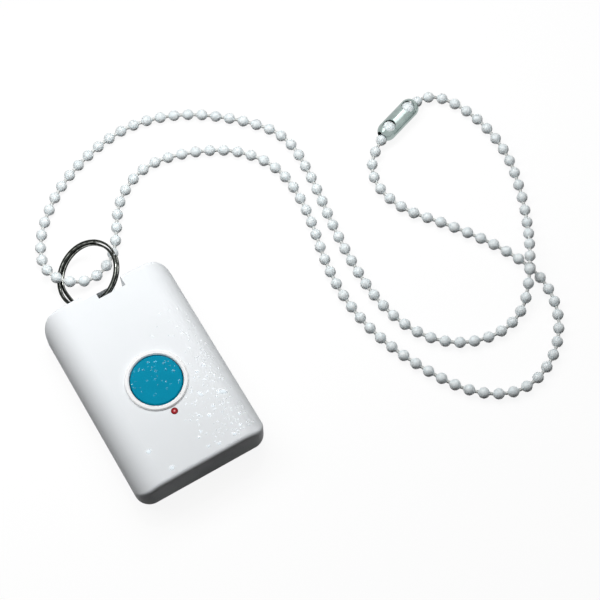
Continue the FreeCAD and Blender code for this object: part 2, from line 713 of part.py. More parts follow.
turned("switch_plunger", [
    ("0", boardTop + " + plungerSeat"), ("plungerFlange / 2", boardTop + " + plungerSeat"),
    ("plungerFlange / 2", boardTop + " + switchTall - plungerFit"),
    ("plungerDiameter / 2", boardTop + " + switchTall - plungerFit"),
    ("plungerDiameter / 2", boardTop + " + plungerTop - plungerBevel"),
    ("plungerDiameter / 2 - plungerBevel", boardTop + " + plungerTop"), ("0", boardTop + " + plungerTop")],
    y="buttonPlace")

# Circuit board with its parts on the front side
board = subpart("circuit_board")
boardPlan = sketch(board, "BoardPlan", "XY_Plane", "boardLevel")
rounded(boardPlan, "r", "-1 * " + boardHalf, boardHalf, boardNear, boardFar, "boardRound")
for i, (x, y) in enumerate(coverPlaces):
    circle(boardPlan, "boss%d" % i, x, y, bossDiameter + " + 2 * boardHoleGap")
for i, (x, y) in enumerate(postPlaces):
    circle(boardPlan, "post%d" % i, x, y, clearHole)
pad(board, "BoardPad", boardPlan, "boardThick")


def chip(name, x, y, wide, deep, tall, corner):
    """A moulded or canned part that stands on the board."""
    body = subpart(name, x, y)
    plan = sketch(body, name + "_plan", "XY_Plane", boardTop)
    rounded(plan, "r", "-1 * %s / 2" % wide, "%s / 2" % wide, "-1 * %s / 2" % deep, "%s / 2" % deep, corner)
    pad(body, name + "_pad", plan, tall)


controllerY = boardFar + " - controllerSet"
transmitterY = boardFar + " - transmitterSet"
chip("controller_chip", "controllerX", controllerY, "controllerSide", "controllerSide",
     "controllerTall", "chipRound")
chip("transmitter_chip", "transmitterX", transmitterY, "transmitterWide", "transmitterDeep",
     "transmitterTall", "chipRound")
chip("crystal", "crystalX", boardFar + " - crystalSet", "crystalWide", "crystalDeep", "crystalTall",
     "crystalRound")
chip("indicator_diode", "0", lensPlace, "diodeWide", "diodeDeep", "diodeTall", "chipRound")
capacitors = []
besideController = "controllerX - controllerSide / 2 - capacitorGap"
besideSwitch = boardNear + " + capacitorEnd"
capacitorPlaces = [
    (besideController, controllerY + " - controllerSide"),
    (besideController + " + capacitorStep", controllerY + " - controllerSide"),
    ("transmitterX + transmitterWide / 2 + capacitorWide", transmitterY + " - transmitterDeep"),
    ("-1 * switchSide", besideSwitch), ("switchSide", besideSwitch),
    ("switchSide + capacitorStep", besideSwitch)]
for x, y in capacitorPlaces:
    body = Part.makeBox(value("capacitorWide"), value("capacitorDeep"), value("capacitorTall"))
    body.translate(Vector(value(x), value(y), value(boardTop)))
    capacitors.append(body)
group("capacitors", capacitors)

# Stamped antenna strip that stands on the board's edge on two legs and a feed
antenna = subpart("antenna", "antennaSet - " + boardHalf)
strip = sketch(antenna, "Strip", "YZ_Plane")
top = boardTop + " + antennaTall"
under = boardTop + " + antennaTall - antennaStrip"
antennaNear = boardNear + " + antennaNearSet"
antennaFar = boardFar + " - antennaFarSet"
feed = antennaFar + " - antennaFeed"
polygon(strip, "s", [(antennaNear, boardTop), (antennaNear + " + antennaStrip", boardTop),
                     (antennaNear + " + antennaStrip", under), (feed, under), (feed, boardTop),
                     (feed + " + antennaStrip", boardTop), (feed + " + antennaStrip", under),
                     (antennaFar + " - antennaStrip", under),
                     (antennaFar + " - antennaStrip", boardTop), (antennaFar, boardTop),
                     (antennaFar, top), (antennaNear, top)])
pad(antenna, "StripPad", strip, "antennaSheet", both=True)

# Indicator lens, a light guide with a flange behind the face
lensStem = "lensDiameter / 2 - lensBevel"
lensFoot = boardTop + " + diodeTall + lensGap"
turned("indicator_lens", [
    ("0", lensFoot), (lensStem, lensFoot), (lensStem, frontInner + " - lensFlangeThick"),
    ("lensFlange / 2", frontInner + " - lensFlangeThick"), ("lensFlange / 2", frontInner),
    ("lensDiameter / 2", frontInner), ("lensDiameter / 2", "bodyThick + lensProud - lensBevel"),
    (lensStem, "bodyThick + lensProud"), ("0", "bodyThick + lensProud")], y=lensPlace)

# Coin cell under the board, in its holder, between the positive clip and the negative contact
cellTop = "boardLevel - contactThick"
cellLow = "boardLevel - contactThick - cellThick"
turned("coin_cell", [
    ("0", cellLow), ("cellDiameter / 2 - cellRound", cellLow), ("cellDiameter / 2", cellLow + " + cellRound"),
    ("cellDiameter / 2", cellTop + " - cellRound"),
    ("cellDiameter / 2 - cellRim", cellTop + " - cellRimDrop"),
    ("cellDiameter / 2 - cellRim - cellRound", cellTop), ("0", cellTop)], y="cellPlace")
turned("cell_contact", [
    ("0", cellTop), ("contactDiameter / 2", cellTop),
    ("contactDiameter / 2", "boardLevel"), ("0", "boardLevel")], y="cellPlace")
holder = subpart("cell_holder", y="cellPlace")
holderPlan = sketch(holder, "HolderPlan", "XY_Plane", cellLow)
circle(holderPlan, "out", "0", "0", "cellDiameter + 2 * holderGap + 2 * holderWall")
circle(holderPlan, "bore", "0", "0", "cellDiameter + 2 * holderGap")
pad(holder, "HolderPad", holderPlan, "boardLevel - (%s)" % cellLow)
thumb = sketch(holder, "ThumbGap", "XY_Plane", cellLow)
rectangle(thumb, "t", "-1 * thumbHalf", "thumbHalf", "-1 * cellDiameter", "-0.4 * cellDiameter")
pocket(holder, "ThumbGapCut", thumb, "0.6 * cellThick", flip=True)
clip = subpart("cell_clip", y="cellPlace")
fold = sketch(clip, "Fold", "XZ_Plane")
legIn = "(cellDiameter / 2 + holderGap + holderWall + clipGap)"
legOut = "(cellDiameter / 2 + holderGap + holderWall + clipGap + clipThick)"
strapLow = cellLow + " - clipThick"
polygon(fold, "f", [("-1 * " + legOut, strapLow), (legOut, strapLow), (legOut, "boardLevel"),
                    (legIn, "boardLevel"), (legIn, cellLow), ("-1 * " + legIn, cellLow),
                    ("-1 * " + legIn, "boardLevel"), ("-1 * " + legOut, "boardLevel")])
pad(clip, "FoldPad", fold, "clipWide", both=True)

# Split ring: two coils of one wire, joined by a step, in the ring's own frame. Its nearest point
# keeps its seat in the slots behind the nose.
ringAcross = Vector(0.759, -0.446, 0.469)
ringAway = Vector(0.505, 0.860, 0.087)
ringInnerR = value("ringOuter / 2 - ringBand")
ringOuterR = value("ringOuter / 2")
wire = value("ringWire")
coilRise = value("(ringWire + ringSpread) / 2")
bevel = 0.25 * wire


def ring_section(turn, level):
    """The wire's section at an angle round the ring, its outer edges bevelled."""
    corners = [(ringInnerR, -wire / 2), (ringOuterR - bevel, -wire / 2), (ringOuterR, bevel - wire / 2),
               (ringOuterR, wire / 2 - bevel), (ringOuterR - bevel, wire / 2), (ringInnerR, wire / 2)]
    angle = math.radians(turn)
    points = [Vector(r * math.cos(angle), r * math.sin(angle), level + z) for r, z in corners]
    return Part.makePolygon(points + points[:1])


def ring_coil(start, turn, level):
    face = Part.Face(ring_section(start, level))
    return face.revolve(Vector(0, 0, 0), Vector(0, 0, 1), turn)


stepStart = value("ringStepStart")
stepTurn = value("ringStepTurn")
steps = 6
sections = []
for i in range(steps + 1):
    share = i / steps
    blend = share * share * (3 - 2 * share)
    sections.append(ring_section(stepStart + stepTurn * (1 - share), -coilRise + 2 * coilRise * blend))
low = ring_coil(stepStart + stepTurn, 360 - stepTurn, -coilRise)
high = ring_coil(stepStart + stepTurn, 360 - stepTurn, coilRise)
step = Part.makeLoft(sections, True, False)
ringShape = low.fuse([step, high])
ring = doc.addObject("Part::Feature", "split_ring")
ring.Label = "split_ring"
ring.Shape = ringShape
ringUp = ringAcross.cross(ringAway)
ringUp.normalize()
ringAcross.normalize()
ringAway = ringUp.cross(ringAcross)
ringNear = Vector(0, -1, 0) + ringUp * ringUp.y
ringNear.normalize()
ringSeat = Vector(value("ringSeatX"), value("bodyLength / 2 - ringSeatSet"), value("ringSeatRise"))
ringCentre = ringSeat - ringNear * value("(ringOuter - ringBand) / 2")
ringFrame = Matrix(ringAcross.x, ringAway.x, ringUp.x, ringCentre.x,
                   ringAcross.y, ringAway.y, ringUp.y, ringCentre.y,
                   ringAcross.z, ringAway.z, ringUp.z, ringCentre.z, 0, 0, 0, 1)
ring.Placement = Placement(ringFrame)

# Route of the bead chain, from the first end ball in the connector round to the last. Its second
# numbers are measured from the housing's ring end.
routePlaces = [
    (108.2, 8.7, 3.0), (112.4, 10.1, 2.8), (117.0, 9.8, 1.9), (120.8, 6.4, 1.7), (123.8, 0.6, 1.7),
    (126.2, -7.6, 1.7), (126.6, -19.4, 1.7), (122.8, -32.4, 1.7), (118.6, -41.8, 1.8), (114.4, -48.6, 5.2),
    (108.9, -56.8, 5.2), (102.6, -63.8, 1.7), (92.8, -66.4, 1.7), (81.5, -63.4, 1.7), (72.6, -54.8, 1.7),
    (67.6, -40.0, 1.7), (68.4, -17.4, 1.7), (72.2, 4.4, 1.7), (72.9, 20.4, 1.7), (63.6, 32.2, 1.7),
    (48.8, 43.6, 1.7), (30.6, 48.2, 1.7), (9.2, 42.0, 1.7), (-3.6, 31.8, 1.7), (-8.8, 23.8, 1.7),
    (-10.2, 18.2, 2.8), (-9.2, 12.8, 4.5), (-5.6, 9.0, 4.3), (0.0, 7.8, 2.0), (5.6, 9.4, 1.7),
    (10.0, 12.8, 1.7), (12.8, 16.8, 1.7), (19.2, 27.6, 1.7), (31.6, 33.4, 1.7),
    (45.4, 30.2, 1.7), (57.8, 23.6, 1.7), (65.6, 12.0, 1.7), (65.8, -3.8, 1.7), (60.2, -25.6, 1.7),
    (60.8, -45.0, 1.7), (67.6, -63.2, 1.7),
    (76.6, -78.0, 1.7), (89.0, -84.8, 1.7), (102.4, -80.6, 1.7), (111.4, -70.0, 1.7), (113.5, -57.4, 1.7),
    (108.6, -44.0, 1.7), (98.8, -29.4, 1.7), (89.6, -18.4, 1.7), (86.8, -7.0, 1.7), (91.2, 2.0, 2.3),
    (99.9, 5.9, 3.0),
]
route = [Vector(x, y + value("bodyLength / 2"), z) for x, y, z in routePlaces]


def tube_path(places):
    """Straight runs joined by tangent arcs, each as large as its two runs allow."""
    edges = []
    start = places[0]
    for before, here, after in zip(places, places[1:], places[2:]):
        back = before - here
        ahead = after - here
        cut = 0.45 * min(back.Length, ahead.Length)
        back.normalize()
        ahead.normalize()
        turn = math.pi - back.getAngle(ahead)
        radius = cut / math.tan(turn / 2)
        half = (back + ahead)
        half.normalize()
        centre = here + half * (radius / math.cos(turn / 2))
        entry = here + back * cut
        leave = here + ahead * cut
        edges.append(Part.LineSegment(start, entry).toShape())
        edges.append(Part.Arc(entry, centre - half * radius, leave).toShape())
        print("bend at", point_text(here), "radius %.1f" % radius)
        start = leave
    edges.append(Part.LineSegment(start, places[-1]).toShape())
    return Part.Wire(edges)


def point_text(place):
    return "(%.1f, %.1f, %.1f)" % (place.x, place.y, place.z)


path = tube_path(route)
cordRadius = value("cordDiameter / 2")
heading = path.Edges[0].tangentAt(path.Edges[0].FirstParameter)
side = heading.cross(Vector(0, 0, 1))
side.normalize()
up = side.cross(heading)
corners = []
for i in range(6):
    angle = math.radians(60 * i)
    outward = side * math.cos(angle) + up * math.sin(angle)
    corners.append(route[0] + outward * cordRadius)
section = Part.makePolygon(corners + corners[:1])
cord = doc.addObject("Part::Feature", "chain_cord")
cord.Label = "chain_cord"
cord.Shape = path.makePipeShell([section], True, False)
expected = Part.Face(section).Area * path.Length
print("cord length %.1f, volume %.1f, section times length %.1f"
      % (path.Length, cord.Shape.Volume, expected))


def bead_solid(centre, along, radius):
    """A faceted ball with six sides and three bands, its flat poles on the cord."""
    side = along.cross(Vector(0, 0, 1))
    side.normalize()
    up = side.cross(along)
    rings = []
    for tilt in (-67.5, -22.5, 22.5, 67.5):
        around = radius * math.cos(math.radians(tilt))
        ahead = radius * math.sin(math.radians(tilt))
        rings.append([centre + along * ahead + side * (around * math.cos(math.radians(60 * i)))
                      + up * (around * math.sin(math.radians(60 * i))) for i in range(6)])
    faces = [Part.Face(Part.makePolygon(rim + rim[:1])) for rim in (rings[0], rings[3])]
    for lower, upper in zip(rings, rings[1:]):
        for i in range(6):
            j = (i + 1) % 6
            faces.append(Part.Face(Part.makePolygon([lower[i], lower[j], upper[j], upper[i], lower[i]])))
    solid = Part.makeSolid(Part.makeShell(faces))
    if solid.Volume < 0:
        solid.reverse()
    return solid


def along_path(wire, distance):
    """The place and the heading at a distance along the wire."""
    for edge in wire.Edges:
        if distance <= edge.Length + 1e-6:
            spot = edge.getParameterByLength(min(distance, edge.Length))
            return edge.valueAt(spot), edge.tangentAt(spot)
        distance -= edge.Length
    raise ValueError("the distance is past the end of the path")


beadTotal = int(value("beadCount"))
beads = []
for i in range(beadTotal):
    centre, along = along_path(path, path.Length * i / (beadTotal - 1))
    ended = i in (0, beadTotal - 1)
    beads.append(bead_solid(centre, along, value("endBall / 2" if ended else "beadDiameter / 2")))
group("chain_beads", beads)

# Connector: a sheet sleeve with round ends, over both end balls, which show through its two windows,
# and with the two edges of its seam along one side
firstBall = route[0]
lastBall = route[-1]
sleeveAxis = firstBall - lastBall
ballSpan = sleeveAxis.Length
straight = value("sleeveLength - sleeveDiameter")


def capsule(name, radius):
    barrel = doc.addObject("Part::Cylinder", name + "_barrel")
    barrel.setExpression("Radius", bound(radius))
    barrel.setExpression("Height", bound("sleeveLength - sleeveDiameter"))
    parts = [barrel]
    for end, text in (("low", "0"), ("high", "sleeveLength - sleeveDiameter")):
        ball = doc.addObject("Part::Sphere", name + "_" + end)
        ball.setExpression("Radius", bound(radius))
        ball.setExpression(".Placement.Base.z", bound(text))
        parts.append(ball)
    whole = doc.addObject("Part::MultiFuse", name)
    whole.Shapes = parts
    return whole


skin = capsule("sleeve_skin", "sleeveDiameter / 2")
bore = capsule("sleeve_bore", "sleeveDiameter / 2 - sleeveSheet")
mouth = doc.addObject("Part::Cylinder", "sleeve_mouth")
mouth.setExpression("Radius", bound("sleeveMouth / 2"))
mouth.setExpression("Height", bound("sleeveLength + 2 * cutOver"))
mouth.setExpression(".Placement.Base.z", bound("-1 * sleeveDiameter / 2 - cutOver"))
windows = []
for end, shift in (("low", -0.5), ("high", 0.5)):
    window = doc.addObject("Part::Cylinder", "sleeve_window_" + end)
    window.setExpression("Radius", bound("sleeveWindow / 2"))
    window.setExpression("Height", bound("sleeveDiameter"))
    window.Placement = Placement(Vector(0, 0, straight / 2 + shift * ballSpan), Rotation(Vector(0, 1, 0), 90))
    windows.append(window)
seams = []
for name, angle in (("upper", "seamTurn"), ("lower", "seamTurn + seamStep")):
    seam = doc.addObject("Part::Box", "sleeve_seam_" + name)
    seam.setExpression("Length", bound("seamSink + cutOver"))
    seam.setExpression("Width", bound("seamWide"))
    seam.setExpression("Height", bound("sleeveLength - sleeveDiameter"))
    turn = Rotation(Vector(0, 0, 1), value(angle))
    seam.Placement = Placement(turn.multVec(Vector(value("sleeveDiameter / 2 - seamSink"),
                                                   value("-1 * seamWide / 2"), 0)), turn)
    seams.append(seam)
openings = doc.addObject("Part::MultiFuse", "sleeve_openings")
openings.Shapes = [bore, mouth] + windows + seams
connector = doc.addObject("Part::Cut", "chain_connector")
connector.Label = "chain_connector"
connector.Base = skin
connector.Tool = openings
sleeveUp = Vector(0, 0, 1)
sleeveAxis.normalize()
sleeveSide = sleeveAxis.cross(sleeveUp)
start = (firstBall + lastBall) * 0.5 - sleeveAxis * (straight / 2)
sleeveFrame = Matrix(sleeveUp.x, sleeveSide.x, sleeveAxis.x, start.x,
                     sleeveUp.y, sleeveSide.y, sleeveAxis.y, start.y,
                     sleeveUp.z, sleeveSide.z, sleeveAxis.z, start.z, 0, 0, 0, 1)
connector.Placement = Placement(sleeveFrame)
doc.recompute()

nodes = [
    "front_cover", "rear_cover", "cover_gasket", "cover_screws", "button_bezel", "button_cap",
    "button_membrane", "switch_body", "switch_frame", "switch_terminals", "switch_dome", "switch_plunger",
    "circuit_board", "board_screws", "coin_cell", "cell_holder", "cell_clip", "cell_contact",
    "indicator_diode", "indicator_lens", "transmitter_chip", "controller_chip", "crystal", "capacitors",
    "antenna", "split_ring", "chain_beads", "chain_cord", "chain_connector",
]
for item in doc.Objects:
    if "Invalid" in item.State or "Error" in item.State:
        raise ValueError("%s failed: %s" % (item.Label, item.State))
os.makedirs("parts", exist_ok=True)
for name in nodes:
    item = doc.getObjectsByLabel(name)[0]
    if item.Shape.isNull() or not item.Shape.isValid():
        raise ValueError("%s has no valid shape" % name)
    print(name, "solids", len(item.Shape.Solids), "volume %.2f" % item.Shape.Volume)
    item.Shape.exportStep("parts/%s.step" % name)
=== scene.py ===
import math

import bpy
import numpy as np
from mathutils import Matrix, Vector


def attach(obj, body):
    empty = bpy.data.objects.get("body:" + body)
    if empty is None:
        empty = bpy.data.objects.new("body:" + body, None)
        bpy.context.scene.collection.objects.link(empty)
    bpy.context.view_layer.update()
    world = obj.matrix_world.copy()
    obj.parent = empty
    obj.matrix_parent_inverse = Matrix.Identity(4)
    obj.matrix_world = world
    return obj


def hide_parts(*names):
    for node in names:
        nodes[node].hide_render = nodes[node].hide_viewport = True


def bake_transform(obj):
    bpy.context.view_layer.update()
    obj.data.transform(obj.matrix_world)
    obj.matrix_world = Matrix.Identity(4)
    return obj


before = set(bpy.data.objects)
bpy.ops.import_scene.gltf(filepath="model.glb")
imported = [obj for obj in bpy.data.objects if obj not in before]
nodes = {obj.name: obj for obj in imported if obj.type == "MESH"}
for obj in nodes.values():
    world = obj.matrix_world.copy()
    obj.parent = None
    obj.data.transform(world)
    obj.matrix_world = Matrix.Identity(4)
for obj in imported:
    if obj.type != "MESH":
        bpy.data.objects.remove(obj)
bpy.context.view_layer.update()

mm = 0.001
lensAxis = (0.0, -13.3)     # mm, where the indicator lens stands on the face


def toLinear(hexColour):
    # sRGB hex to linear, with alpha 1
    shares = [int(hexColour[i:i + 2], 16) / 255 for i in (1, 3, 5)]
    return [c / 12.92 if c <= 0.04045 else ((c + 0.055) / 1.055) ** 2.4 for c in shares] + [1.0]


def perMetre(sizeMm):
    # texture scale whose features are about this many millimetres
    return 1 / (sizeMm * mm)


def addNode(tree, kind, settings=None, links=None, feeds=None):
    # a node with its settings and plain inputs, the sources of its other inputs, and the sockets it feeds
    node = tree.nodes.new(kind)
    for key, setting in (settings or {}).items():
        if isinstance(key, str) and hasattr(node, key):
            setattr(node, key, setting)
        else:
            node.inputs[key].default_value = setting
    for key, source in (links or {}).items():
        tree.links.new(source, node.inputs[key])
    for key, socket in (feeds or {}).items():
        tree.links.new(node.outputs[key], socket)
    return node


def newMaterial(name, colour, roughness, **sockets):
    # a Principled material, its even values set on the shader's own sockets
    material = bpy.data.materials.new(name)
    material.use_nodes = True
    tree = material.node_tree
    shader = tree.nodes["Principled BSDF"]
    shader.inputs["Base Color"].default_value = toLinear(colour)
    shader.inputs["Roughness"].default_value = roughness
    for key, setting in sockets.items():
        shader.inputs[key.replace("_", " ")].default_value = setting
    place = addNode(tree, "ShaderNodeTexCoord").outputs["Object"]
    return material, tree, shader, place


def newPiece(name, points, faces, material, smooth=True):
    # a mesh object at the origin with its place in its vertices
    mesh = bpy.data.meshes.new(name)
    mesh.from_pydata(np.asarray(points).reshape(-1, 3).tolist(), [], faces)
    mesh.polygons.foreach_set("use_smooth", np.full(len(mesh.polygons), smooth))
    mesh.update()
    obj = bpy.data.objects.new(name, mesh)
    bpy.context.scene.collection.objects.link(obj)
    mesh.materials.append(material)
    return obj


def closedTubes(count, rows, columns):
    # faces of a number of tubes, each a grid of rows by columns of points closed on itself along its rows:
    # a quad between every four neighbours, and one face over each end
    i, j = np.meshgrid(np.arange(rows - 1), np.arange(columns), indexing="ij")
    k = (j + 1) % columns
    near = i * columns
    far = near + columns
    quads = np.stack([far + j, far + k, near + k, near + j], axis=-1)
    ends = np.stack([np.arange(columns), np.arange(columns)[::-1] + (rows - 1) * columns])
    starts = np.arange(count)[:, None, None] * rows * columns
    sides = (quads.reshape(1, -1, 4) + starts).reshape(-1, 4)
    return sides.tolist() + (ends[None] + starts).reshape(-1, columns).tolist()


def fullTurn(count):
    # this many angles evenly round a full turn, in radians
    return np.linspace(0, 2 * math.pi, count, endpoint=False)


print("camera")
cameraPlace = {
    "target": (49.29, 2.73, 0.0),      # mm on the floor, the middle of the picture
    "right": (0.8618, -0.5073, 0.0),
    "back": (-0.1982, -0.3367, 0.9205),
    "distance": 500.0,                 # mm
    "focalPixels": 1725.1,             # for a picture 600 pixels wide
    "pictureWidth": 600,
    "sensor": 36.0,
    "nearest": 0.01, "farthest": 20.0,     # metres
}


def makeCamera(p):
    # it stands at its distance back from the target and is turned by its right and back directions
    back = Vector(p["back"]).normalized()
    right = Vector(p["right"]).normalized()
    up = back.cross(right)
    data = bpy.data.cameras.new("camera")
    data.sensor_width = p["sensor"]
    data.lens = p["focalPixels"] * p["sensor"] / p["pictureWidth"]
    data.clip_start, data.clip_end = p["nearest"], p["farthest"]
    camera = bpy.data.objects.new("camera", data)
    bpy.context.scene.collection.objects.link(camera)
    place = (Vector(p["target"]) + back * p["distance"]) * mm
    camera.matrix_world = Matrix((
        (right.x, up.x, back.x, place.x), (right.y, up.y, back.y, place.y),
        (right.z, up.z, back.z, place.z), (0, 0, 0, 1)))
    bpy.context.scene.camera = camera


makeCamera(cameraPlace)


print("materials")
# what most of a noise pattern's values lie between
middle = {"From Min": 0.35, "From Max": 0.65}
# grain, fibres and fine marks are drawn coarser than the real ones, which are too fine to show


def mouldedAbs(name, light, shade):
    # ABS moulded in a finely blasted tool: satin white with a soft sheen that varies a little
    material, tree, shader, place = newMaterial(name, light, 0.42, Specular_IOR_Level=0.03)
    grain = addNode(tree, "ShaderNodeTexNoise", {"Scale": perMetre(0.22), "Detail": 3.0}, {"Vector": place})
    cloud = addNode(tree, "ShaderNodeTexNoise", {"Scale": perMetre(9), "Detail": 4.0}, {"Vector": place})
    addNode(tree, "ShaderNodeMapRange", {**middle, "To Min": 0.37, "To Max": 0.47},
            {"Value": cloud.outputs["Fac"]}, {"Result": shader.inputs["Roughness"]})
    addNode(tree, "ShaderNodeMix", {"data_type": "RGBA", 6: toLinear(light), 7: toLinear(shade)},
            {"Factor": cloud.outputs["Fac"]}, {2: shader.inputs["Base Color"]})
    addNode(tree, "ShaderNodeBump", {"Strength": 0.5, "Distance": 0.006 * mm},
            {"Height": grain.outputs["Fac"]}, {"Normal": shader.inputs["Normal"]})
    return material


def mouldedTeal():
    # coloured acetal with a spark-eroded face: dense colour under a dull gloss
    material, tree, shader, place = newMaterial("mouldedTeal", "#078CAC", 0.38, Specular_IOR_Level=0.02)
    grain = addNode(tree, "ShaderNodeTexNoise", {"Scale": perMetre(0.18), "Detail": 2.0}, {"Vector": place})
    cloud = addNode(tree, "ShaderNodeTexNoise", {"Scale": perMetre(4), "Detail": 3.0}, {"Vector": place})
    addNode(tree, "ShaderNodeMix", {"data_type": "RGBA", 6: toLinear("#0094B5"), 7: toLinear("#0088A8")},
            {"Factor": cloud.outputs["Fac"]}, {2: shader.inputs["Base Color"]})
    addNode(tree, "ShaderNodeMapRange", {**middle, "To Min": 0.32, "To Max": 0.46},
            {"Value": grain.outputs["Fac"]}, {"Result": shader.inputs["Roughness"]})
    addNode(tree, "ShaderNodeBump", {"Strength": 0.5, "Distance": 0.01 * mm},
            {"Height": grain.outputs["Fac"]}, {"Normal": shader.inputs["Normal"]})
    return material


lens = {
    # painted light on the lens: the pale spot in its middle is a painted highlight, and its darker edge is
    # painted shade
    "paintedSpark": (0.1, 0.34), "rim": (0.5, 0.95),     # mm from the axis, where each change begins and ends
    "paintedSparkColour": "#F2B8BC", "bodyColour": "#A80A16", "rimColour": "#7C0812",
}


def clearRedLens(p):
    # red clear acrylic: deep colour under a glassy top, with a painted highlight as a pale spot in its middle
    # and painted shade darkening it towards its rim
    material, tree, shader, place = newMaterial("clearRedLens", "#A00C16", 0.08, Specular_IOR_Level=0.1)
    level = addNode(tree, "ShaderNodeVectorMath", {"operation": "MULTIPLY", 1: (1, 1, 0)}, {0: place})
    fromAxis = addNode(tree, "ShaderNodeVectorMath",
                       {"operation": "DISTANCE", 1: (lensAxis[0] * mm, lensAxis[1] * mm, 0)},
                       {0: level.outputs["Vector"]})
    flow = addNode(tree, "ShaderNodeTexNoise", {"Scale": perMetre(0.4)}, {"Vector": place})
    # painted highlight: pale at the axis, fading out between its two radii
    paintedSpark = addNode(tree, "ShaderNodeMapRange", {"From Min": p["paintedSpark"][0] * mm, "From Max": p["paintedSpark"][1] * mm,
                                               "To Min": 1, "To Max": 0},
                  {"Value": fromAxis.outputs["Value"]})
    # painted shade: darker towards the rim, between its two radii
    rim = addNode(tree, "ShaderNodeMapRange", {"From Min": p["rim"][0] * mm, "From Max": p["rim"][1] * mm,
                                               "To Min": 0, "To Max": 1},
                  {"Value": fromAxis.outputs["Value"]})
    body = addNode(tree, "ShaderNodeMix", {"data_type": "RGBA", 6: toLinear(p["bodyColour"]),
                                           7: toLinear(p["rimColour"])}, {"Factor": rim.outputs["Result"]})
    addNode(tree, "ShaderNodeMix", {"data_type": "RGBA", 7: toLinear(p["paintedSparkColour"])},
            {"Factor": paintedSpark.outputs["Result"], 6: body.outputs[2]}, {2: shader.inputs["Base Color"]})
    addNode(tree, "ShaderNodeMapRange", {**middle, "To Min": 0.05, "To Max": 0.12},
            {"Value": flow.outputs["Fac"]}, {"Result": shader.inputs["Roughness"]})
    return material


def mouldedBead():
    # nylon ball moulded on the cord: off-white and faintly waxy, with broad, faint flow marks
    material, tree, shader, place = newMaterial(
        "mouldedBead", "#E8EFF2", 0.34, Subsurface_Weight=0.85, Subsurface_Radius=[2.2 * mm] * 3,
        Coat_Weight=0.15, Coat_Roughness=0.2)
    cloud = addNode(tree, "ShaderNodeTexNoise", {"Scale": perMetre(2.6), "Detail": 2.0}, {"Vector": place})
    flow = addNode(tree, "ShaderNodeTexNoise", {"Scale": perMetre(2.2), "Detail": 1.0}, {"Vector": place})
    addNode(tree, "ShaderNodeMix", {"data_type": "RGBA", 6: toLinear("#F1F8FB"), 7: toLinear("#E6EEF0")},
            {"Factor": cloud.outputs["Fac"]}, {2: shader.inputs["Base Color"]})
    addNode(tree, "ShaderNodeMapRange", {**middle, "To Min": 0.32, "To Max": 0.4},
            {"Value": flow.outputs["Fac"]}, {"Result": shader.inputs["Roughness"]})
    addNode(tree, "ShaderNodeBump", {"Strength": 0.25, "Distance": 0.012 * mm},
            {"Height": flow.outputs["Fac"]}, {"Normal": shader.inputs["Normal"]})
    return material


def twistedYarn():
    # spun polyester cord: matt, with fibres along its twist
    material, tree, shader, place = newMaterial("twistedYarn", "#D5D8D6", 0.85, Sheen_Weight=0.4)
    fibre = addNode(tree, "ShaderNodeTexNoise", {"Scale": perMetre(0.12), "Detail": 2.0}, {"Vector": place})
    addNode(tree, "ShaderNodeMix", {"data_type": "RGBA", 6: toLinear("#E4E6E4"), 7: toLinear("#B9BDBB")},
            {"Factor": fibre.outputs["Fac"]}, {2: shader.inputs["Base Color"]})
    addNode(tree, "ShaderNodeBump", {"Strength": 0.8, "Distance": 0.05 * mm},
            {"Height": fibre.outputs["Fac"]}, {"Normal": shader.inputs["Normal"]})
    return material


def platedMetal(name, colour, dark, roughness, lineMm, depthMm):
    # plated sheet or wire: a bright metal with fine marks from drawing and handling
    material, tree, shader, place = newMaterial(name, colour, roughness, Metallic=1.0)
    marks = addNode(tree, "ShaderNodeTexNoise", {"Scale": perMetre(lineMm), "Detail": 4.0,
                                                 "Distortion": 0.4}, {"Vector": place})
    cloud = addNode(tree, "ShaderNodeTexNoise", {"Scale": perMetre(5), "Detail": 2.0}, {"Vector": place})
    tarnish = addNode(tree, "ShaderNodeMapRange", {**middle, "To Min": 0, "To Max": 1},
                      {"Value": cloud.outputs["Fac"]})
    addNode(tree, "ShaderNodeMix", {"data_type": "RGBA", 6: toLinear(colour), 7: toLinear(dark)},
            {"Factor": tarnish.outputs["Result"]}, {2: shader.inputs["Base Color"]})
    addNode(tree, "ShaderNodeMapRange", {**middle, "To Min": roughness * 0.7, "To Max": roughness * 1.4},
            {"Value": marks.outputs["Fac"]}, {"Result": shader.inputs["Roughness"]})
    addNode(tree, "ShaderNodeBump", {"Strength": 0.4, "Distance": depthMm * mm},
            {"Height": marks.outputs["Fac"]}, {"Normal": shader.inputs["Normal"]})
    return material


def darkSpring():
    # hardened spring steel under a black nickel plating, with a painted highlight: bright lines painted along
    # the wire's edges, in patches
    material, tree, shader, place = newMaterial("blackNickelSpring", "#282B28", 0.16, Metallic=1.0)
    marks = addNode(tree, "ShaderNodeTexNoise", {"Scale": perMetre(1.4), "Detail": 3.0}, {"Vector": place})
    glintLine = addNode(tree, "ShaderNodeAttribute", {"attribute_name": "glintLine"})
    patches = addNode(tree, "ShaderNodeMapRange", {**middle, "To Min": 0, "To Max": 1},
                      {"Value": marks.outputs["Fac"]})
    # painted highlight: the corner mask times the patches lightens the plating towards a pale metal
    paintedGlint = addNode(tree, "ShaderNodeMath", {"operation": "MULTIPLY"},
                   {0: glintLine.outputs["Fac"], 1: patches.outputs["Result"]})
    addNode(tree, "ShaderNodeMix", {"data_type": "RGBA", 6: toLinear("#282B28"), 7: toLinear("#E6EAE2")},
            {"Factor": paintedGlint.outputs[0]}, {2: shader.inputs["Base Color"]})
    addNode(tree, "ShaderNodeMapRange", {**middle, "To Min": 0.1, "To Max": 0.24},
            {"Value": marks.outputs["Fac"]}, {"Result": shader.inputs["Roughness"]})
    addNode(tree, "ShaderNodeBump", {"Strength": 0.4, "Distance": 0.01 * mm},
            {"Height": marks.outputs["Fac"]}, {"Normal": shader.inputs["Normal"]})
    return material


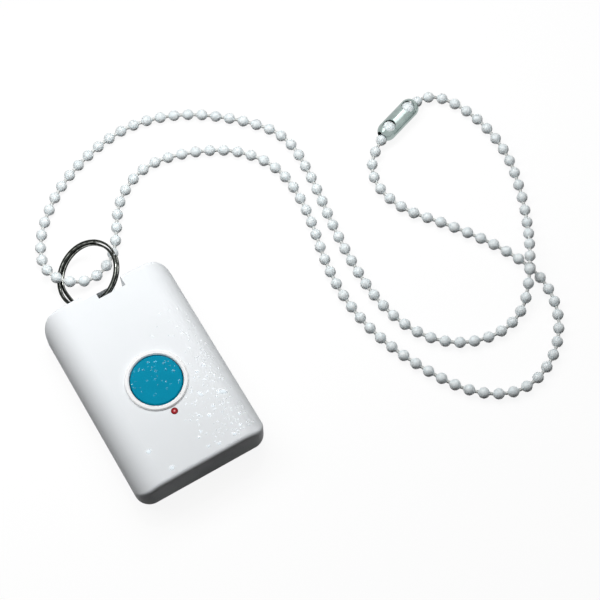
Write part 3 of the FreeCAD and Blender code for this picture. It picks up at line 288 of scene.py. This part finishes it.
def mouldedPlain(name, colour, shade, roughness, grainMm, **sockets):
    # a dull moulded or cast surface with its own grain and a little unevenness of colour
    material, tree, shader, place = newMaterial(name, colour, roughness, **sockets)
    grain = addNode(tree, "ShaderNodeTexNoise", {"Scale": perMetre(grainMm), "Detail": 3.0},
                    {"Vector": place})
    addNode(tree, "ShaderNodeMix", {"data_type": "RGBA", 6: toLinear(colour), 7: toLinear(shade)},
            {"Factor": grain.outputs["Fac"]}, {2: shader.inputs["Base Color"]})
    addNode(tree, "ShaderNodeBump", {"Strength": 0.5, "Distance": 0.01 * mm},
            {"Height": grain.outputs["Fac"]}, {"Normal": shader.inputs["Normal"]})
    return material


def solderMask():
    # green lacquer over glass cloth, whose weave shows faintly
    material, tree, shader, place = newMaterial("solderMask", "#14603A", 0.3, Coat_Weight=0.4)
    weave = addNode(tree, "ShaderNodeTexWave", {"Scale": perMetre(0.9) / (2 * math.pi), "Distortion": 0.5},
                    {"Vector": place})
    addNode(tree, "ShaderNodeMix", {"data_type": "RGBA", 6: toLinear("#14603A"), 7: toLinear("#0F5231")},
            {"Factor": weave.outputs["Fac"]}, {2: shader.inputs["Base Color"]})
    addNode(tree, "ShaderNodeBump", {"Strength": 0.3, "Distance": 0.01 * mm},
            {"Height": weave.outputs["Fac"]}, {"Normal": shader.inputs["Normal"]})
    return material


def stillWater():
    # drops of water: clear and smooth, with sharp glints. The grey tint isn't water's own: with a brighter
    # one the drops came out whiter than they should
    material, tree, shader, place = newMaterial("stillWater", "#BABFC2", 0.03, Transmission_Weight=1.0,
                                                IOR=1.333)
    ripple = addNode(tree, "ShaderNodeTexNoise", {"Scale": perMetre(1.5)}, {"Vector": place})
    addNode(tree, "ShaderNodeBump", {"Strength": 0.2, "Distance": 0.03 * mm},
            {"Height": ripple.outputs["Fac"]}, {"Normal": shader.inputs["Normal"]})
    return material


# after each name two tones, then roughness, the size of the marks or grain in mm, and the marks' depth in mm
coverAbs = mouldedAbs("mouldedAbs", "#F4F7FA", "#F0F4F6")
# the bezel's ABS is a whiter copy of the cover's with the same roughness: partly a whiter white of its own,
# partly painted sheen for the raised ring's brighter look
bezelAbs = mouldedAbs("sheenWhitenedAbs", "#FFFFFF", "#FCFDFE")
teal = mouldedTeal()
lensRed = clearRedLens(lens)
bead = mouldedBead()
yarn = twistedYarn()
ringNickel = darkSpring()
sleeveNickel = platedMetal("nickelPlatedSheet", "#A9B6B3", "#8D9B98", 0.2, 0.6, 0.02)
stripNickel = platedMetal("nickelPlatedStrip", "#C6C4BC", "#B6B4AC", 0.28, 0.3, 0.01)
zincScrew = platedMetal("zincPlatedSteel", "#9FA3A8", "#8B8F94", 0.32, 0.2, 0.02)
cellSteel = platedMetal("drawnCellCase", "#C9C9C6", "#BEBEBA", 0.25, 0.25, 0.008)
blackNylon = mouldedPlain("mouldedNylon", "#1B1B1D", "#232326", 0.5, 0.2)
chipEpoxy = mouldedPlain("mouldedEpoxy", "#161618", "#1E1E21", 0.6, 0.15)
siliconeGrey = mouldedPlain("pressedSilicone", "#B9BFC1", "#AEB4B6", 0.6, 0.5, Sheen_Weight=0.2)
siliconeDark = mouldedPlain("extrudedSilicone", "#26272A", "#2E2F33", 0.65, 0.4)
firedCeramic = mouldedPlain("firedCeramic", "#A8845C", "#967450", 0.45, 0.1)
castResin = mouldedPlain("castResin", "#E8DFA8", "#DCD298", 0.25, 0.3, Transmission_Weight=0.2)
mask = solderMask()
water = stillWater()

finishes = {
    "front_cover": coverAbs, "rear_cover": coverAbs, "button_bezel": bezelAbs, "button_cap": teal,
    "indicator_lens": lensRed, "cover_gasket": siliconeDark, "cover_screws": zincScrew,
    "button_membrane": siliconeGrey, "switch_body": blackNylon, "switch_plunger": blackNylon,
    "switch_frame": stripNickel, "switch_terminals": stripNickel, "switch_dome": stripNickel,
    "circuit_board": mask, "board_screws": zincScrew, "coin_cell": cellSteel, "cell_holder": blackNylon,
    "cell_clip": stripNickel, "cell_contact": stripNickel, "indicator_diode": castResin,
    "transmitter_chip": chipEpoxy, "controller_chip": chipEpoxy, "crystal": stripNickel,
    "capacitors": firedCeramic, "antenna": stripNickel, "split_ring": ringNickel,
    "chain_beads": bead, "chain_cord": yarn, "chain_connector": sleeveNickel,
}
for name, material in finishes.items():
    for slot in nodes[name].material_slots:
        slot.material = material


print("bead chain")
chain = {
    "beadDiameter": 3.3, "beadCount": 150, "neckDiameter": 1.3, "yarnDiameter": 1.0,     # mm
    "beadSweep": 150.0,                # degrees of the ball's outline, its two ends left open
    "neckReach": 1.04, "boreShare": 0.8,     # of the ball's height, and of the yarn's width
    "beadAround": 16, "beadRings": 11,
    "plyCount": 3, "plyTurn": 3.0,     # mm of cord for one turn of the yarn
    "plyRise": 0.12, "yarnFill": 0.95,     # of the yarn's radius
    "yarnAround": 12, "yarnStep": 0.35,     # mm between the yarn's rings
    "length": 630.2,
    "endBall": 5.0,
    "headingReach": 0.4,               # mm to either side that a heading is read over
    # the route from the first end ball round to the last, mm
    "route": [
        (108.2, 38.9, 3.0), (112.4, 40.3, 2.8), (117.0, 40.0, 1.9), (120.8, 36.6, 1.7),
        (123.8, 30.8, 1.7), (126.2, 22.6, 1.7), (126.6, 10.8, 1.7), (122.8, -2.2, 1.7),
        (118.6, -11.6, 1.8), (114.4, -18.4, 5.2), (108.9, -26.6, 5.2), (102.6, -33.6, 1.7),
        (92.8, -36.2, 1.7), (81.5, -33.2, 1.7), (72.6, -24.6, 1.7), (67.6, -9.8, 1.7),
        (68.4, 12.8, 1.7), (72.2, 34.6, 1.7), (72.9, 50.6, 1.7), (63.6, 62.4, 1.7),
        (48.8, 73.8, 1.7), (30.6, 78.4, 1.7), (9.2, 72.2, 1.7), (-3.6, 62.0, 1.7),
        (-8.8, 54.0, 1.7), (-10.2, 48.4, 2.8), (-9.2, 43.0, 4.5), (-5.6, 39.2, 4.3),
        (0.0, 38.0, 2.0), (5.6, 39.6, 1.7), (10.0, 43.0, 1.7), (12.8, 47.0, 1.7),
        (19.2, 57.8, 1.7), (31.6, 63.6, 1.7), (45.4, 60.4, 1.7), (57.8, 53.8, 1.7),
        (65.6, 42.2, 1.7), (65.8, 26.4, 1.7), (60.2, 4.6, 1.7), (60.8, -14.8, 1.7),
        (67.6, -33.0, 1.7), (76.6, -47.8, 1.7), (89.0, -54.6, 1.7), (102.4, -50.4, 1.7),
        (111.4, -39.8, 1.7), (113.5, -27.2, 1.7), (108.6, -13.8, 1.7), (98.8, 0.8, 1.7),
        (89.6, 11.8, 1.7), (86.8, 23.2, 1.7), (91.2, 32.2, 2.3), (99.9, 36.1, 3.0),
    ],
}


def routeLine(points):
    # the smooth line that the route's points control, read as a run of close points in metres
    curve = bpy.data.curves.new("chainRoute", "CURVE")
    curve.dimensions = "3D"
    curve.resolution_u = 16
    spline = curve.splines.new("NURBS")
    spline.points.add(len(points) - 1)
    for point, place in zip(spline.points, points):
        point.co = (place[0] * mm, place[1] * mm, place[2] * mm, 1)
    spline.order_u = 3
    spline.use_endpoint_u = True
    holder = bpy.data.objects.new("chainRoute", curve)
    bpy.context.scene.collection.objects.link(holder)
    bpy.context.view_layer.update()
    line = bpy.data.meshes.new_from_object(holder)
    places = np.empty(3 * len(line.vertices), dtype=np.float32)
    line.vertices.foreach_get("co", places)
    bpy.data.objects.remove(holder)
    return places.reshape(-1, 3).astype(float)


def alongLine(line, distances, reach):
    # places at distances along a line of close points, and headings there: the way from the place a
    # reach behind to the place a reach ahead, made one long
    steps = np.linalg.norm(np.diff(line, axis=0), axis=1)
    travelled = np.concatenate([[0], np.cumsum(steps)])

    def placesAt(along):
        return np.stack([np.interp(along, travelled, line[:, axis]) for axis in range(3)], axis=1)

    headings = placesAt(distances + reach) - placesAt(distances - reach)
    return placesAt(distances), headings / np.linalg.norm(headings, axis=1)[:, None]


def crossAxes(headings, turns):
    # unit vectors across each heading at each turn: the cosine of the turn times an axis level with the
    # floor, plus its sine times the axis square to that and to the heading
    level = np.cross(headings, [0.0, 0.0, 1.0])
    level /= np.linalg.norm(level, axis=1)[:, None]
    upward = np.cross(level, headings)
    return (level[:, None, :] * np.cos(turns)[None, :, None]
            + upward[:, None, :] * np.sin(turns)[None, :, None])


chainLine = routeLine(chain["route"])
lineLength = np.linalg.norm(np.diff(chainLine, axis=0), axis=1).sum()
print("chain line %.1f mm" % (lineLength / mm))


def beadMesh(p):
    # each bead is turned about the cord: its radius at a height h along the cord is the greater of a
    # sphere's and a short neck's, and all beads are one array of rings, bead by bead
    radius = p["beadDiameter"] / 2 * mm
    neck = p["neckDiameter"] / 2 * mm
    bore = p["yarnDiameter"] / 2 * mm * p["boreShare"]
    tilt = np.linspace(-0.5, 0.5, p["beadRings"]) * math.radians(p["beadSweep"])
    heights = radius * np.sin(tilt)
    widths = np.maximum(radius * np.cos(tilt), neck)
    heights = np.concatenate([[heights[0] * p["neckReach"]], heights, [heights[-1] * p["neckReach"]]])
    widths = np.concatenate([[bore], widths, [bore]])
    distances = np.linspace(0, lineLength, p["beadCount"])
    places, headings = alongLine(chainLine, distances, p["headingReach"] * mm)
    across = crossAxes(headings, fullTurn(p["beadAround"]))
    growth = np.ones(p["beadCount"])
    growth[[0, -1]] = p["endBall"] / p["beadDiameter"]
    heights = growth[:, None] * heights[None, :]
    widths = growth[:, None] * widths[None, :]
    points = (places[:, None, None, :] + headings[:, None, None, :] * heights[:, :, None, None]
              + across[:, None, :, :] * widths[:, :, None, None])
    return points, closedTubes(p["beadCount"], p["beadRings"] + 2, p["beadAround"])


def yarnMesh(p):
    # a cord of plies: its radius at an angle a round the cord and a distance s along it is the yarn's
    # radius times one plus a ripple of count times (a minus the twist at s)
    rows = int(lineLength / (p["yarnStep"] * mm))
    distances = np.linspace(0, lineLength, rows)
    places, headings = alongLine(chainLine, distances, p["headingReach"] * mm)
    turns = fullTurn(p["yarnAround"])
    across = crossAxes(headings, turns)
    twist = 2 * math.pi * distances / (p["plyTurn"] * mm)
    ripple = 1 + p["plyRise"] * np.cos(p["plyCount"] * (turns[None, :] - twist[:, None]))
    radii = p["yarnDiameter"] / 2 * mm * p["yarnFill"] * ripple
    points = places[:, None, :] + across * radii[:, :, None]
    return points, closedTubes(1, rows, p["yarnAround"])


beads = newPiece("chainBeads", *beadMesh(chain), bead)
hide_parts("chain_beads")
cord = newPiece("chainYarn", *yarnMesh(chain), yarn)
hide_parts("chain_cord")
for piece in (beads, cord):
    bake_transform(piece)


print("split ring")
ring = {
    "centre": (-0.50, 38.38, 5.98), "across": (0.759, -0.446, 0.469), "away": (0.505, 0.860, 0.087),
    "radius": 9.65, "wide": 1.0, "thick": 0.9, "rise": 0.625,     # mm, of the wire and its coils
    "start": 25.0, "turn": 720.0,       # degrees, both coils and the step between them
    "stepAt": 360.0, "stepTurn": 50.0,
    "offset": 0.15,                     # how far the near coil stands out and the far one in
    "partAt": (193.0, 553.0), "partTurn": 38.0, "partBy": (0.12, -0.62),
    "crossBy": -0.5, "crossWide": 0.7, "endBy": 0.5, "endTurn": 70.0, "endWide": 0.55,
    # the second power narrows the painted highlight along the wire's edges
    "cornerPower": 0.6, "glintLinePower": 14,     # the lower the squarer, and the higher the narrower
    "rows": 300, "around": 24,
}


def hump(turn, middleTurn, half):
    # one at the middle, nought from half to either side of it, and the square of a cosine between
    return np.cos(np.clip((turn - middleTurn) / half, -1, 1) * math.pi / 2) ** 2


def smoothStep(share):
    # from nought to one, level at both ends: three times the square less twice the cube
    return share * share * (3 - 2 * share)


def squarer(wave, power):
    # a wave's size to a power with its sign kept: below one this draws a circle towards a square
    return np.sign(wave) * np.abs(wave) ** power


def ringMesh(p):
    # a wire of rounded section along two coils: at a turn t its centre stands at the angle start plus t,
    # a radius of the coil's plus humps in t, and a level that falls smoothly from rise to minus rise; the
    # section's cosine and sine are drawn towards a square by a power, and the mask of the painted highlight
    # is one at its corners
    t = np.linspace(0, p["turn"], p["rows"])
    level = p["rise"] * (1 - 2 * smoothStep(np.clip((t - p["stepAt"]) / p["stepTurn"], 0, 1)))
    radius = p["radius"] + p["offset"] * level / p["rise"]
    for at, by in zip(p["partAt"], p["partBy"]):
        radius = radius + by * hump(t, at, p["partTurn"])
    crossing = hump(t, p["stepAt"] + p["stepTurn"] / 2, p["stepTurn"])
    ending = smoothStep(np.clip(1 - np.minimum(t, p["turn"] - t) / p["endTurn"], 0, 1))
    radius = radius + p["crossBy"] * crossing + p["endBy"] * ending
    wide = p["wide"] + (p["endWide"] - p["wide"]) * ending + (p["crossWide"] - p["wide"]) * crossing
    phase = fullTurn(p["around"])
    reach = radius[:, None] + wide[:, None] / 2 * squarer(np.cos(phase), p["cornerPower"])[None, :]
    height = level[:, None] + p["thick"] / 2 * squarer(np.sin(phase), p["cornerPower"])[None, :]
    across = np.array(p["across"]) / np.linalg.norm(p["across"])
    up = np.cross(across, p["away"])
    up /= np.linalg.norm(up)
    away = np.cross(up, across)
    angle = np.radians(p["start"] + t)
    points = (np.array(p["centre"]) + (reach * np.cos(angle)[:, None])[..., None] * across
              + (reach * np.sin(angle)[:, None])[..., None] * away + height[..., None] * up)
    # mask of the painted highlight: one at the section's corners, nought across its flats
    glintLine = np.abs(np.sin(2 * phase)) ** p["glintLinePower"]
    return points * mm, np.repeat(glintLine[None, :], p["rows"], axis=0), closedTubes(1, p["rows"], p["around"])


points, glintLines, faces = ringMesh(ring)
coils = newPiece("ringCoils", points, faces, ringNickel)
coils.data.attributes.new("glintLine", "FLOAT", "POINT").data.foreach_set("value", glintLines.ravel())
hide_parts("split_ring")
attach(coils, "ring")


print("water drops")
drops = {
    # x, y, half length, half width in mm and the turn in degrees of the drops that stand out
    "onFace": [
        (14.13, -14.87, 1.75, 0.75, -26), (8.53, -12.51, 1.1, 0.5, -67), (13.51, -5.49, 0.65, 0.6, 0),
        (9.88, -17.34, 0.55, 0.5, 0), (7.58, -19.20, 0.55, 0.5, 30), (15.09, -22.72, 0.6, 0.5, 10),
        (13.61, -25.88, 0.5, 0.45, 0), (3.29, -22.04, 0.5, 0.42, 60), (2.11, -23.31, 0.42, 0.4, 0),
        (3.12, -26.82, 0.5, 0.46, 0), (-11.66, -19.95, 0.8, 0.7, 0), (-8.40, -27.20, 0.75, 0.7, 0),
        (5.14, -17.76, 0.42, 0.4, 0), (5.99, -27.60, 0.6, 0.5, 0), (10.92, -27.40, 0.6, 0.5, 0),
        (10.88, -6.40, 0.5, 0.45, 0),
    ],
    "onCap": [
        (1.11, -0.66, 0.42, 0.4, 0), (-0.28, -2.78, 0.36, 0.34, 0), (5.38, -6.40, 0.45, 0.4, 40),
        (5.32, -3.14, 0.5, 0.45, 0), (5.40, 0.10, 0.26, 0.24, 0), (0.44, 2.52, 0.5, 0.42, 0),
        (2.28, 1.77, 0.45, 0.42, 0), (4.13, 0.19, 0.45, 0.4, 0), (3.77, -1.57, 0.36, 0.34, 0),
        (-1.83, 1.40, 0.4, 0.36, 0), (-2.28, -1.93, 0.3, 0.28, 0), (2.01, -4.78, 0.32, 0.3, 0),
    ],
    "smallOnFace": 150, "smallOnCap": 26, "smallest": 0.17, "largest": 0.28,
    "triesEach": 40, "smallBias": 2.5, "longest": 1.3, "gap": 0.12,
    "faceArea": ((1.0, -28.3), (17.2, 14.0)), "capArea": ((-7.0, -10.0), (7.0, 4.0)),
    # where drops thin out on the face, and how far on they are full: across, and from the ring end down
    "faceFrom": 1.0, "faceOver": 13.0, "ringEndShare": 0.25, "lowFrom": 4.0, "lowOver": 26.0,
    "capFrom": -9.0, "capOver": 10.0, "capLeast": 0.1,
    "flatTo": 12.0, "sideRound": 8.0, "faceLevel": 13.8, "capLevel": 14.2,
    "button": (0.0, -3.0), "capRadius": 6.7, "bezelRadius": 9.2, "lensRadius": 1.7,
    "slope": 0.42,       # height over half width
    "sink": 0.04,        # mm that a drop's foot lies below the surface
    "seed": 11, "around": 12,
    "rings": (1.0, 1.0, 0.93, 0.78, 0.55, 0.25),     # of the radius, from the sunken foot to the top
}


def scatter(p, count, named, area, allowed):
    # small drops where they are allowed and touch no other, mostly the smallest
    draw = np.random.default_rng(p["seed"])
    placed = [list(drop) for drop in named]
    tries = p["triesEach"] * count
    low, high = area
    for x, y, size in zip(draw.uniform(low[0], high[0], tries), draw.uniform(low[1], high[1], tries),
                          draw.uniform(0, 1, tries)):
        radius = p["smallest"] + (p["largest"] - p["smallest"]) * size ** p["smallBias"]
        clear = all(math.hypot(x - other[0], y - other[1]) > radius + other[2] + p["gap"] for other in placed)
        if clear and draw.uniform() < allowed(p, x, y) and len(placed) < count + len(named):
            placed.append([x, y, radius * draw.uniform(1.0, p["longest"]), radius, draw.uniform(0, 180)])
    return np.array(placed)


def faceShare(p, x, y):
    # how readily drops lie at a place on the face: none on the button and lens, most at the lower right
    if math.hypot(x - p["button"][0], y - p["button"][1]) < p["bezelRadius"]:
        return 0.0
    if math.hypot(x - lensAxis[0], y - lensAxis[1]) < p["lensRadius"]:
        return 0.0
    down = min(max((p["lowFrom"] - y) / p["lowOver"], 0), 1)
    rightward = min(max((x - p["faceFrom"]) / p["faceOver"], 0), 1)
    return rightward * (p["ringEndShare"] + (1 - p["ringEndShare"]) * down)


def capShare(p, x, y):
    # how readily drops lie at a place on the cap: most on its ring side
    if math.hypot(x - p["button"][0], y - p["button"][1]) > p["capRadius"]:
        return 0.0
    return min(max((y - p["capFrom"]) / p["capOver"], p["capLeast"]), 1)


def dropMesh(p, placed, level):
    # each drop is a low dome on an oval foot: at a share q of its radius its height is the slope times
    # its half width times the root of one minus q squared, along the normal of a face that is flat up to
    # flatTo from its middle and then bends down round a circle; its first ring is sunk below that face
    shares = np.array(p["rings"])
    heights = np.sqrt(1 - shares ** 2)[None, :] * (p["slope"] * placed[:, 3])[:, None]
    heights[:, 0] = -p["sink"]
    phase = fullTurn(p["around"])
    u = placed[:, 2, None, None] * shares[None, :, None] * np.cos(phase)
    v = placed[:, 3, None, None] * shares[None, :, None] * np.sin(phase)
    turn = np.radians(placed[:, 4])[:, None, None]
    over = np.maximum(np.abs(placed[:, 0]) - p["flatTo"], 0)
    bendRadius = p["sideRound"]
    arc = np.sign(placed[:, 0]) * (np.abs(placed[:, 0]) - over + bendRadius * np.arcsin(over / bendRadius))
    along = arc[:, None, None] + u * np.cos(turn) - v * np.sin(turn)
    y = placed[:, 1, None, None] + u * np.sin(turn) + v * np.cos(turn)
    bend = np.maximum(np.abs(along) - p["flatTo"], 0) / bendRadius
    side = np.sign(along)
    normal = np.stack([side * np.sin(bend), np.zeros_like(bend), np.cos(bend)], axis=-1)
    base = np.stack([side * np.minimum(np.abs(along), p["flatTo"]), y,
                     np.full_like(y, level - bendRadius)], axis=-1)
    points = base + normal * (bendRadius + heights[:, :, None, None])
    return points * mm, closedTubes(len(placed), len(shares), p["around"])


faceDrops = scatter(drops, drops["smallOnFace"], drops["onFace"], drops["faceArea"], faceShare)
capDrops = scatter(drops, drops["smallOnCap"], drops["onCap"], drops["capArea"], capShare)
for name, body, placed, level in (("faceDrops", "housing", faceDrops, drops["faceLevel"]),
                                  ("capDrops", "cap", capDrops, drops["capLevel"])):
    drop = newPiece(name, *dropMesh(drops, placed, level), water)
    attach(drop, body)


print("floor, world and lamps")
studio = {
    "floorSize": 3.0, "floorWhite": 0.90, "floorShade": 0.12, "floorBounce": 0.015,
    "worldLight": 0.035,
    # name, place and aim in metres, size in metres and watts of each lamp
    "lamps": [
        ("keySoftbox", (0.12, 0.2, 0.62), (0.04, 0.0, 0.0), (1.4, 0.4), 2.85),
        ("nearStrip", (0.0, 0.075, 0.13), (0.0, 0.02, 0.0), (0.3, 0.05), 0.17),
        ("smallSpot", (0.11, 0.2, 0.5), (0.02, 0.0, 0.0), (0.03, 0.03), 0.25),
    ],
}


def seesWhite(tree):
    # one for rays from the camera, off a gloss or through something clear, and nought for all others
    path = addNode(tree, "ShaderNodeLightPath")
    direct = addNode(tree, "ShaderNodeMath", {"operation": "MAXIMUM"},
                     {0: path.outputs["Is Camera Ray"], 1: path.outputs["Is Glossy Ray"]})
    either = addNode(tree, "ShaderNodeMath", {"operation": "MAXIMUM"},
                     {0: direct.outputs[0], 1: path.outputs["Is Transmission Ray"]})
    return either.outputs[0]


def makeFloor(p):
    # a white floor that keeps a faint shadow, and gives less light back to the sides than it shows
    half = p["floorSize"] / 2
    corners = [(-half, -half, 0), (half, -half, 0), (half, half, 0), (-half, half, 0)]
    material = bpy.data.materials.new("matPaper")
    material.use_nodes = True
    tree = material.node_tree
    tree.nodes.clear()
    glow = addNode(tree, "ShaderNodeEmission", {"Strength": p["floorWhite"]})
    shade = addNode(tree, "ShaderNodeBsdfDiffuse", {"Color": [p["floorShade"]] * 3 + [1]})
    shown = addNode(tree, "ShaderNodeAddShader", None, {0: glow.outputs[0], 1: shade.outputs[0]})
    bounce = addNode(tree, "ShaderNodeBsdfDiffuse", {"Color": [p["floorBounce"]] * 3 + [1]})
    both = addNode(tree, "ShaderNodeMixShader", None,
                   {0: seesWhite(tree), 1: bounce.outputs[0], 2: shown.outputs[0]})
    addNode(tree, "ShaderNodeOutputMaterial", None, {"Surface": both.outputs[0]})
    floor = newPiece("floor", corners, [(0, 1, 2, 3)], material, False)


def makeWorld(p):
    # white where it is seen, and a dim light everywhere else
    world = bpy.data.worlds.new("studio")
    bpy.context.scene.world = world
    world.use_nodes = True
    tree = world.node_tree
    tree.nodes.clear()
    dim = addNode(tree, "ShaderNodeBackground", {"Color": [1, 1, 1, 1], "Strength": p["worldLight"]})
    white = addNode(tree, "ShaderNodeBackground", {"Color": [1, 1, 1, 1], "Strength": 1.0})
    both = addNode(tree, "ShaderNodeMixShader", None,
                   {0: seesWhite(tree), 1: dim.outputs[0], 2: white.outputs[0]})
    addNode(tree, "ShaderNodeOutputWorld", None, {"Surface": both.outputs[0]})


def addLamp(name, place, aim, size, power):
    # a flat lamp turned to its aim
    data = bpy.data.lights.new(name, "AREA")
    data.shape = "RECTANGLE"
    data.size, data.size_y = size
    data.energy = power
    lamp = bpy.data.objects.new(name, data)
    bpy.context.scene.collection.objects.link(lamp)
    lamp.location = place
    lamp.rotation_euler = (Vector(aim) - Vector(place)).to_track_quat("-Z", "Y").to_euler()


makeFloor(studio)
makeWorld(studio)
for lamp in studio["lamps"]:
    addLamp(*lamp)

bpy.context.scene.view_settings.view_transform = "Standard"

print("done")
